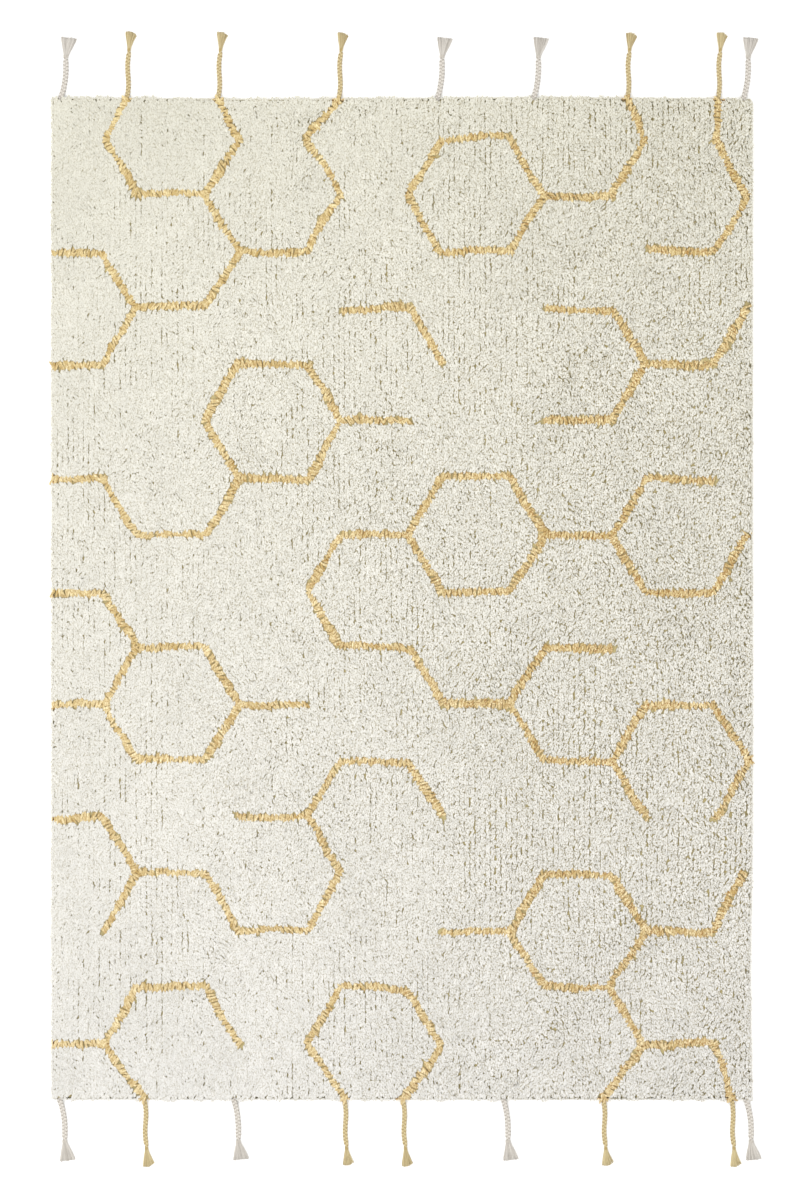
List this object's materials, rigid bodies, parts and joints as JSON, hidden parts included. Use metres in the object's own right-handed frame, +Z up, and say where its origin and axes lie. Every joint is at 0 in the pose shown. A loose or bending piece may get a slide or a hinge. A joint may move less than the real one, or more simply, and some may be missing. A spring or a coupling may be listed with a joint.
{
  "type": "kids play rug",
  "caption": "Flat tufted cotton rug in cream pile with yellow honeycomb lines and braided brush tassels along both short ends, lying on the floor.",
  "frame": {"origin": "centre of the rug body's flat underside, on the floor", "axes": "+X across the rug's width, +Y along its length, +Z up from the floor through the pile"},
  "size_m": [1.418, 2.2644, 0.0159],
  "materials": {
    "cream_pile": "soft matt cut cotton pile",
    "yellow_pile": "soft matt cut cotton pile, dyed",
    "canvas_back": "plain woven cotton backing",
    "natural_braid": "matt plaited cotton yarn",
    "yellow_braid": "matt plaited cotton yarn, dyed",
    "natural_thread": "matt wound cotton thread",
    "yellow_thread": "matt wound cotton thread, dyed"
  },
  "bodies": {
    "root": {"rug": "cream_pile", "tassel_top_1": "natural_braid", "tie_top_1": "natural_thread", "tassel_top_2": "yellow_braid", "tie_top_2": "yellow_thread", "tassel_top_3": "yellow_braid", "tie_top_3": "yellow_thread", "tassel_top_4": "yellow_braid", "tie_top_4": "yellow_thread", "tassel_top_5": "natural_braid", "tie_top_5": "natural_thread", "tassel_top_6": "natural_braid", "tie_top_6": "natural_thread", "tassel_top_7": "yellow_braid", "tie_top_7": "yellow_thread", "tassel_top_8": "yellow_braid", "tie_top_8": "yellow_thread", "tassel_top_9": "natural_braid", "tie_top_9": "natural_thread", "tassel_bottom_1": "natural_braid", "tie_bottom_1": "natural_thread", "tassel_bottom_2": "yellow_braid", "tie_bottom_2": "yellow_thread", "tassel_bottom_3": "natural_braid", "tie_bottom_3": "natural_thread", "tassel_bottom_4": "yellow_braid", "tie_bottom_4": "yellow_thread", "tassel_bottom_5": "yellow_braid", "tie_bottom_5": "yellow_thread", "tassel_bottom_6": "natural_braid", "tie_bottom_6": "natural_thread", "tassel_bottom_7": "yellow_braid", "tie_bottom_7": "yellow_thread", "tassel_bottom_8": "yellow_braid", "tie_bottom_8": "yellow_thread", "tassel_bottom_9": "natural_braid", "tie_bottom_9": "natural_thread"}
  },
  "joints": []
}
